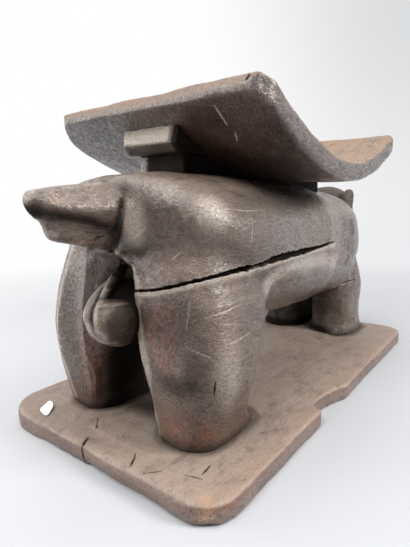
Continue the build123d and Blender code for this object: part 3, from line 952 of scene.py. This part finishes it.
        # Painted shade: between the hind legs, where the feet meet the plate, round the ears and
        # low at the front, on all but the outer side of the right leg
        fork = above(y, -185, 18) * below(y, -40, 60) * below(np.abs(x), 38, 10)
        dark += 0.95 * fork * below(z, 130, 10)
        dark += 0.6 * below(z, 25, 9)
        dark += 0.6 * above(y, 150, 15) * above(z, 120, 20)
        dark += 0.7 * above(y, 60, 20) * below(x, 45, 20) * below(z, 90, 20)
        polish = soft_patches(places, PAINTED_HIGHLIGHTS)
        # A painted highlight along the flank below the crack
        under_crack = np.array(FLANK_ARRIS) - (0, 0, 4)
        polish = np.maximum(polish, 0.75 * band(places, under_crack, 9, core=1.2))
        # The strips and the crack's lip are painted pale: wear, and on the chamfer and the left leg's
        # outer strip also a painted highlight
        for line, reach in marks["worn"]:
            polish = np.maximum(polish, 0.62 * band(places, line, reach, core=1.3))
        block.store("red", np.clip(soft_patches(places, RED_PATCHES), 0, 1))
        block.store("soot", np.clip(dark + 1.6 * marks["soot"], 0, 0.97))
        block.store("polish", np.clip(polish + 0.55 * marks["pale"], 0, 1))
        block.store("raw", np.clip(0.75 * marks["fresh"], 0, 1))
        block.store("worm", below(y, -200, 8) * (0.35 + 0.6 * below(z, 170, 8)))


class STOOL_OT_carve_pouch(Operator):
    """Carve the pouch that hangs between the hind legs"""
    bl_idname = "stool.carve_pouch"
    bl_label = "Carve the pouch"

    def execute(self, context):
        pouch = Carving(skinned(["pouch"], context.scene.stool_carving.fine_step))
        pouch.relax(6)
        x, y, z = pouch.points.T
        # Behind the rim the bowl is cut away, beside the neck
        hollow = above(z, 114.5, 1.6) * above(x, 1.5, 3) * above(z, 100, 4)
        pouch.points += hollow[:, None] * HOLLOW_CUT
        outer = pouch.snap(POUCH_OUTER_RIDGE, 2.0)
        inner = pouch.snap(POUCH_INNER_RIDGE, 2.0)
        pouch.raise_path(outer, 5.5, 2.0)
        pouch.raise_path(inner, 3.8, 2.0)
        steps = min(len(outer), len(inner))
        valley = (outer[:steps] + inner[:steps]) / 2
        pouch.raise_path(valley, 2.6, -2.4)
        pouch.raise_path(pouch.snap(POUCH_RIM, 2.0), 2.6, 0.9)
        pouch.roughen(9, 0.3)
        pouch.store_ridges(scale=0.5)
        # Painted shade in the hollow, along the valley, behind the pouch and beside the leg
        shade = 0.97 * hollow + 0.8 * band(pouch.points, valley, 1.8, core=1.2)
        shade += 0.9 * above(y, -190, 8) + 0.7 * above(x, 11, 7)
        pouch.store("soot", np.clip(shade, 0, 0.97))
        # The ridges are rubbed pale and carry a painted highlight
        rubbed = [band(pouch.points, ridge, 2.2, core=1.3) for ridge in (outer, inner)]
        pouch.store("polish", 0.4 * np.maximum(*rubbed))
        pouch.write()
        material = bpy.data.materials["waxed hardwood"]
        add_piece("carved_pouch", pouch.mesh, material, ["pouch"])
        return {"FINISHED"}


class STOOL_OT_carve_tusks(Operator):
    """Carve the two tusks"""
    bl_idname = "stool.carve_tusks"
    bl_label = "Carve the tusks"

    def execute(self, context):
        carving = context.scene.stool_carving
        material = bpy.data.materials["waxed hardwood"]
        for name in ("tusk_right", "tusk_left"):
            tusk = Carving(skinned([name], carving.tusk_step))
            tusk.relax(4)
            everywhere = np.ones(len(tusk.points), dtype=bool)
            tusk.hew(count=60, share=0.6, tilt=0.05, seed=carving.seed, where=everywhere)
            tusk.store_ridges()
            tusk.write()
            add_piece("carved_" + name, tusk.mesh, material, [name])
        return {"FINISHED"}


# ------------------------------------------------------------------ seat, lugs and posts
SEAT_SPLIT = ((91, -158, 251), (92, -153, 254), (93, -147, 252))
# Chips and swellings of the seat's rim: place, reach and height
SEAT_BUMPS = (
    ((99, -152, 250), 8, -1.6),
    ((104, -92, 236), 7, -1.4),
    ((104, -78, 230), 6, 1.0),
)
SEAT_SCRATCHES = (
    ((64.8, -128.6, 230.7), (61, -120, 226.8)),
    ((65, -153, 242), (63.5, -136.4, 234.3)),
)
# Long flats above and below the end of a lug: height of the cut and the way that it faces
LUG_FLATS = (
    (8.5, (0.04, 0.94, 0.34)),
    (6.0, (-0.03, 0.87, -0.5)),
)


class STOOL_OT_carve_seat(Operator):
    """Carve the curved seat"""
    bl_idname = "stool.carve_seat"
    bl_label = "Carve the seat"

    def execute(self, context):
        carving = context.scene.stool_carving
        seat = Carving(skinned(["seat"], carving.board_step))
        seat.relax(2)
        upward = seat.normals()[:, 2]
        seat.hew(count=130, share=0.5, tilt=0.025, seed=carving.seed + 3, where=upward < -0.3)
        seat.hew(count=60, share=0.5, tilt=0.01, seed=carving.seed + 5, where=upward > 0.3)
        seat.relax(2)
        split = seat.snap(SEAT_SPLIT, 1.5)
        seat.refine([split, *SEAT_SCRATCHES], 5, 2)
        cut = seat.groove(split, (1.8, 1.6, 0.8), 3.0, rough=0.3)
        for place, reach, height in SEAT_BUMPS:
            seat.swell(place, reach, height)
        seat.roughen(34, 0.6, seed=2.0)
        seat.roughen(9, 0.15, seed=5.0)
        seat.store_ridges(scale=1.8)
        # Grime and painted shade inside the split
        seat.store("soot", np.clip(1.4 * cut, 0, 0.97))
        # The edges at both ends are rubbed pale by hands and carry a painted highlight, but not where they
        # turn under the seat
        facing = seat.normals()
        polish = 0.35 * above(np.abs(facing[:, 1]), 0.75, 0.2) * (facing[:, 2] > -0.35)
        for path in SEAT_SCRATCHES:
            polish = np.maximum(polish, band(seat.points, seat.snap(path), 0.8, core=1.3))
        seat.store("polish", polish)
        seat.write()
        wood = context.scene.stool_wood
        material = old_hardwood("handled hardwood", (wood.seat_dark, wood.seat_light),
                                dustiness=0.75, top="tan")
        add_piece("carved_seat", seat.mesh, material, ["seat"])
        return {"FINISHED"}


class STOOL_OT_carve_lugs(Operator):
    """Carve the lugs under the seat's ends and the posts that carry them"""
    bl_idname = "stool.carve_lugs"
    bl_label = "Carve the lugs and posts"

    def execute(self, context):
        material = bpy.data.materials["waxed hardwood"]
        for name in SEAT_SUPPORTS:
            lug = Carving(skinned([name], context.scene.stool_carving.fine_step))
            lug.relax(2)
            low, high = (np.array(corner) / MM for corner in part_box(name))
            if "lug" in name:
                sign = 1 if "front" in name else -1
                end_y = high[1] if sign == 1 else low[1]
                for height, facing in LUG_FLATS:
                    lug.cut((0, end_y, low[2] + height), np.array((1, sign, 1)) * facing)
            lug.roughen(14, 0.35)
            lug.store_ridges()
            x, y, z = lug.points.T
            # Painted shade lies in the shelter of the seat, away from the open left side and the upper
            # flat; a lug's upper flat and a post's left side get a painted highlight
            if "lug" in name:
                shelter = np.maximum(0.45 * below(z, low[2] + 8, 3), above(x, high[0] - 6, 3))
                lug.store("polish", above(z, low[2] + 5, 3) * below(x, high[0] - 6, 3))
            else:
                shelter = above(x, low[0] + 6, 5)
                lug.store("polish", 0.5 * below(x, low[0] + 6, 4))
            lug.store("soot", 0.95 * shelter)
            lug.write()
            add_piece("carved_" + name, lug.mesh, material, [name])
        return {"FINISHED"}


# ------------------------------------------------------------------ plate and label
# Points along the crack in the rear edge, from the underside up and over the top
PLATE_CRACK = (
    (-3, -217, 1), (-4, -217, 8), (-5.4, -215, PLATE_TOP), (-8.7, -209, PLATE_TOP),
    (-13, -202, PLATE_TOP), (-15, -195, PLATE_TOP), (-26, -185, PLATE_TOP),
)
PLATE_CRACK_WIDTHS = (1.6, 1.6, 1.8, 1.4, 1.2, 0.9, 0.6)
# Where the top sinks a little towards the rear edge
PLATE_SHELF = (
    (-24, -196, PLATE_TOP), (-10, -197, PLATE_TOP), (11, -198, PLATE_TOP), (39, -196, PLATE_TOP),
    (56, -188, PLATE_TOP),
)
# Cuts and hairlines in the top: the path seen from above, its widths and its depth
CUT_WIDTHS, HAIRLINE_WIDTHS = (0.6, 1.8, 1.4, 0.6), (0.6, 1.2, 0.6)
PLATE_CUTS = (
    (((41, -213), (37, -207), (32, -200)), CUT_WIDTHS, 1.6),
    (((83, -192.5), (81, -181)), CUT_WIDTHS, 1.6),
    (((74, -199), (79.7, -197.3), (86, -196)), HAIRLINE_WIDTHS, 0.8),
    (((52, -213), (60, -204)), HAIRLINE_WIDTHS, 0.8),
)
# Chip in the rear right corner: place, reach and height, and where its fresh wood shows
CORNER_CHIP = ((98, -208, 10), 10, -2.4)
CHIPPED_CORNER = (97, -208, 8)
# The feet's outlines are taken below this height, with corners of this radius
FOOT_HEIGHT, FOOT_ROUND = 17, 20


class STOOL_OT_carve_plate(Operator):
    """Carve the plate that the elephant stands on"""
    bl_idname = "stool.carve_plate"
    bl_label = "Carve the plate"

    def execute(self, context):
        carving = context.scene.stool_carving
        plate = Carving(skinned(["base_plate"], carving.board_step))
        plate.relax(3)
        upward = plate.normals()[:, 2]
        rim = np.abs(upward) < 0.5
        plate.hew(count=220, share=0.6, tilt=0.018, seed=carving.seed + 6, where=upward > 0.5)
        plate.hew(count=150, share=0.5, tilt=0.03, seed=carving.seed + 7, where=rim)
        plate.relax(1)
        crack = plate.snap(PLATE_CRACK, 2.0)
        cuts = [
            ([(*place, PLATE_TOP) for place in path], widths, depth)
            for path, widths, depth in PLATE_CUTS
        ]
        plate.refine([crack, *(path for path, _, _ in cuts)], 6, 2)
        plate.step(PLATE_SHELF, (0, -1, 0), 0.9, 16)
        cut = plate.groove(crack, PLATE_CRACK_WIDTHS, 4.0, rough=0.3)
        plate.swell(*CORNER_CHIP)
        plate.roughen(34, 0.7, seed=1.0)
        plate.roughen(7, 0.15, seed=6.0)
        for path, widths, depth in cuts:
            cut = np.maximum(cut, plate.groove(plate.snap(path), widths, depth))
        # The underside is worn hollow to the right of the crack
        x, y, z = plate.points.T
        worn = above(x, -2, 3) * below(y, -203, 8) * (z < 5)
        plate.points[:, 2] = np.maximum(z + 1.6 * worn, 0.0)
        plate.store_ridges(scale=1.6)
        # Painted shade between the legs and round the feet; grime and painted shade in the crack and the
        # cuts
        between_legs = above(y, -172, 22) * below(y, -30, 60) * below(np.abs(x + 8), 36, 12)
        shade = 1.3 * cut + (z > 10) * (0.8 * between_legs + self.foot_shade(plate.points))
        plate.store("soot", np.clip(shade, 0, 0.95))
        plate.store("red", 0.75 * above(x, 80, 30) * (z > 9) + 0.25 * below(y, -190, 10))
        from_corner = np.linalg.norm(plate.points - CHIPPED_CORNER, axis=1)
        plate.store("raw", fade(1 - from_corner / 9))
        plate.store("worm", 0.5 * below(y, -205, 8) * (z < 12))
        plate.write()
        wood = context.scene.stool_wood
        material = old_hardwood("dusty hardwood", (wood.plate_dark, wood.plate_light),
                                roughness=0.5, dustiness=0.45, waxy=0.5)
        add_piece("carved_base_plate", plate.mesh, material, ["base_plate"])
        return {"FINISHED"}

    def foot_shade(self, points):
        """Painted shade on the plate round each of the elephant's feet."""
        shade = np.zeros(len(points))
        for leg in LEG_NODES:
            foot = np.array([
                vert.co[:2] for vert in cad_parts[leg].data.vertices
                if vert.co.z < FOOT_HEIGHT * MM
            ]) / MM
            low, high = foot.min(axis=0), foot.max(axis=0)
            beyond = np.abs(points[:, :2] - (low + high) / 2) - (high - low) / 2 + FOOT_ROUND
            gap = np.linalg.norm(np.maximum(beyond, 0), axis=1) - FOOT_ROUND
            shade += 0.5 * fade(1 - gap / 5)
        return shade


# Corners of the sticker: near left, far left, far right and near right
LABEL_CORNERS = ((-76, -206, 14.9), (-79, -194, 17.6), (-67.5, -197, 18.6), (-59, -209.5, 15.3))
LABEL_THICKNESS = 0.2
# How far the worn corners reach from the middle, where the sides are 1 away
LABEL_ROUND = 1.14


class STOOL_OT_stick_label(Operator):
    """Stick the blank paper label on the plate"""
    bl_idname = "stool.stick_label"
    bl_label = "Stick the label"

    def execute(self, context):
        sheet = bmesh.new()
        bmesh.ops.create_grid(sheet, x_segments=24, y_segments=16, size=1.0)
        near_left, far_left, far_right, near_right = (np.array(corner) for corner in LABEL_CORNERS)
        for vert in sheet.verts:
            across, up = vert.co.x, vert.co.y
            # Worn round corners, and a far edge that has come unstuck and curls up
            reach = math.hypot(across, up) or 1.0
            round_off = min(1.0, LABEL_ROUND / reach) if abs(across * up) > 0.3 else 1.0
            across, up = across * round_off, up * round_off
            right, far = (across + 1) / 2, (up + 1) / 2
            near_edge = near_left + (near_right - near_left) * right
            far_edge = far_left + (far_right - far_left) * right
            place = near_edge + (far_edge - near_edge) * far
            place[2] = near_edge[2] + (far_edge[2] - near_edge[2]) * far ** 2
            vert.co = Vector(place) * MM
        bmesh.ops.solidify(sheet, geom=sheet.faces[:], thickness=LABEL_THICKNESS * MM)
        bmesh.ops.recalc_face_normals(sheet, faces=sheet.faces[:])
        mesh = bpy.data.meshes.new("label")
        sheet.to_mesh(mesh)
        sheet.free()
        add_piece("paper_sticker", mesh, price_paper(), ["paper_label"])
        return {"FINISHED"}


# ------------------------------------------------------------------ stage
# In metres and degrees
CAMERA_PLACE = (0.2273, -0.3782, 0.1802)
CAMERA_YAW, CAMERA_PITCH, CAMERA_ROLL = 37.23, 9.40, -0.32
CAMERA_LENS = 27.51
SENSOR_WIDTH = 36
NEAREST_SEEN = 0.01
FLOOR_RADIUS = 1.3
FLOOR_FADE = (0.34, 1.0)
# Where the floor's painted shade, darker on the right, blends in
FLOOR_LEFT_TO_RIGHT = (-0.4, 0.15)
# The wall as it is seen, with painted shade: white on the left, light grey on the right and darker higher
# up
WALL_WHITE, WALL_LOW, WALL_HIGH = "#FFFFFF", "#EDEDEF", "#DCDDDF"
WALL_LEFT_TO_RIGHT = (-0.62, -0.2)
WALL_LOW_TO_HIGH = (0.0, 0.4)
# The wall as it lights the stool: from the left and behind; the side of the camera is dim
WALL_GLOW = "#F8F9FB"
GLOW_FROM = (-0.80, 0.50, 0.30)
GLOW_EDGE = (-0.15, 0.4)
DIM_SHARE = 0.22
LAMP_AIM = (0, 0, 0.12)
# Lamps: name, place, size and the setting that holds their power
LAMPS = (
    ("top lamp", (0.0, -0.25, 1.3), 0.8, "top_power"),
    ("rear lamp", (0.06, -0.88, 0.94), 0.42, "rear_power"),
    ("right lamp", (1.02, 0.22, 0.74), 0.42, "right_power"),
    ("left lamp", (-0.86, -0.84, 0.28), 0.5, "left_power"),
)


class STOOL_OT_set_stage(Operator):
    """Set the floor, the wall, the lamps and the camera"""
    bl_idname = "stool.set_stage"
    bl_label = "Set the stage"

    def execute(self, context):
        stage = context.scene.stool_stage
        self.lay_floor(stage)
        self.light_wall(stage)
        for name, place, size, power in LAMPS:
            self.add_lamp(name, place, size, getattr(stage, power))
        self.set_camera(context.scene)
        context.scene.view_settings.view_transform = "Standard"
        return {"FINISHED"}

    def lay_floor(self, stage):
        """Lay a round sheet of matt white paper, which fades into the wall behind."""
        shape = bmesh.new()
        bmesh.ops.create_circle(shape, cap_ends=True, segments=64, radius=FLOOR_RADIUS)
        mesh = bpy.data.meshes.new("floor")
        shape.to_mesh(mesh)
        shape.free()
        floor = bpy.data.objects.new("floor", mesh)
        bpy.context.collection.objects.link(floor)
        mesh.materials.append(self.white_sweep(stage))

    def white_sweep(self, stage):
        """Matt white paper that takes the shadow, painted a little darker on the right as painted shade.
        """
        paint = bpy.data.materials.new("white paper sweep")
        tree = bare_tree(paint)
        place = add_node(tree, "ShaderNodeTexCoord").outputs["Object"]
        distance = add_node(tree, "ShaderNodeVectorMath", {0: place}, operation="LENGTH").outputs["Value"]
        across = add_node(tree, "ShaderNodeSeparateXYZ", {0: place}).outputs["X"]
        colour = blend(tree, smooth_step(tree, across, *FLOOR_LEFT_TO_RIGHT),
                       linear(stage.floor_left), linear(stage.floor))
        paper = add_node(tree, "ShaderNodeBsdfPrincipled", {
            "Base Color": colour, "Roughness": 0.9}).outputs[0]
        clear = add_node(tree, "ShaderNodeBsdfTransparent").outputs[0]
        mix = add_node(tree, "ShaderNodeMixShader", {
            0: smooth_step(tree, distance, *FLOOR_FADE), 1: paper, 2: clear}).outputs[0]
        add_node(tree, "ShaderNodeOutputMaterial", {"Surface": mix})
        return paint

    def light_wall(self, stage):
        """Set up the wall, with one face for the camera and one for the light."""
        world = bpy.data.worlds.new("studio")
        bpy.context.scene.world = world
        tree = bare_tree(world)
        direction = add_node(tree, "ShaderNodeTexCoord").outputs["Generated"]
        parts = add_node(tree, "ShaderNodeSeparateXYZ", {0: direction}).outputs
        shade = blend(tree, smooth_step(tree, parts["Z"], *WALL_LOW_TO_HIGH),
                      linear(WALL_LOW), linear(WALL_HIGH))
        wall = blend(tree, smooth_step(tree, parts["X"], *WALL_LEFT_TO_RIGHT),
                     linear(WALL_WHITE), shade)
        seen = add_node(tree, "ShaderNodeBackground", {"Color": wall}).outputs[0]
        facing = add_node(tree, "ShaderNodeVectorMath", {
            0: direction, 1: GLOW_FROM}, operation="DOT_PRODUCT").outputs["Value"]
        strength = smooth_step(tree, facing, *GLOW_EDGE, top=stage.wall_light, bottom=DIM_SHARE)
        light = add_node(tree, "ShaderNodeBackground", {
            "Color": linear(WALL_GLOW), "Strength": strength}).outputs[0]
        camera_ray = add_node(tree, "ShaderNodeLightPath").outputs["Is Camera Ray"]
        mix = add_node(tree, "ShaderNodeMixShader", {0: camera_ray, 1: light, 2: seen}).outputs[0]
        add_node(tree, "ShaderNodeOutputWorld", {"Surface": mix})

    def add_lamp(self, name, place, size, power):
        """Hang a square lamp that looks at the stool."""
        lamp = bpy.data.lights.new(name, "AREA")
        lamp.shape = "SQUARE"
        lamp.size = size
        lamp.energy = power
        holder = bpy.data.objects.new(name, lamp)
        bpy.context.collection.objects.link(holder)
        turn = (Vector(LAMP_AIM) - Vector(place)).to_track_quat("-Z", "Y")
        holder.matrix_world = Matrix.Translation(place) @ turn.to_matrix().to_4x4()

    def set_camera(self, scene):
        """Stand the camera behind the stool, on its right."""
        lens = bpy.data.cameras.new("camera")
        lens.lens = CAMERA_LENS
        lens.sensor_width = SENSOR_WIDTH
        lens.clip_start = NEAREST_SEEN
        camera = bpy.data.objects.new("camera", lens)
        bpy.context.collection.objects.link(camera)
        camera.matrix_world = (
            Matrix.Translation(CAMERA_PLACE)
            @ Matrix.Rotation(math.radians(CAMERA_YAW), 4, "Z")
            @ Matrix.Rotation(math.radians(90 - CAMERA_PITCH), 4, "X")
            @ Matrix.Rotation(math.radians(CAMERA_ROLL), 4, "Z")
        )
        scene.camera = camera


# ------------------------------------------------------------------ panel
SETTINGS = (
    ("stool_carving", CarvingSettings),
    ("stool_wood", WoodSettings),
    ("stool_stage", StageSettings),
)
OPERATORS = (
    STOOL_OT_set_stage,
    STOOL_OT_carve_elephant,
    STOOL_OT_carve_pouch,
    STOOL_OT_carve_tusks,
    STOOL_OT_carve_seat,
    STOOL_OT_carve_lugs,
    STOOL_OT_carve_plate,
    STOOL_OT_stick_label,
)


class STOOL_PT_panel(Panel):
    """Sizes, colours and steps of the stool"""
    bl_idname = "STOOL_PT_panel"
    bl_label = "Carved elephant stool"
    bl_space_type = "VIEW_3D"
    bl_region_type = "UI"
    bl_category = "Stool"

    def draw(self, context):
        for name, group in SETTINGS:
            box = self.layout.box()
            for setting in group.__annotations__:
                box.prop(getattr(context.scene, name), setting)
        for step in OPERATORS:
            self.layout.operator(step.bl_idname)


CLASSES = (CarvingSettings, WoodSettings, StageSettings, *OPERATORS, STOOL_PT_panel)


def register():
    """Register the classes and hang the settings on the scene."""
    for item in CLASSES:
        bpy.utils.register_class(item)
    for name, group in SETTINGS:
        setattr(bpy.types.Scene, name, PointerProperty(type=group))


def unregister():
    """Take the settings and the classes away again."""
    for name, _ in SETTINGS:
        delattr(bpy.types.Scene, name)
    for item in reversed(CLASSES):
        bpy.utils.unregister_class(item)


def main():
    """Make every piece."""
    register()
    for step in OPERATORS:
        group, call = step.bl_idname.split(".")
        getattr(getattr(bpy.ops, group), call)()


if __name__ == "__main__":
    main()
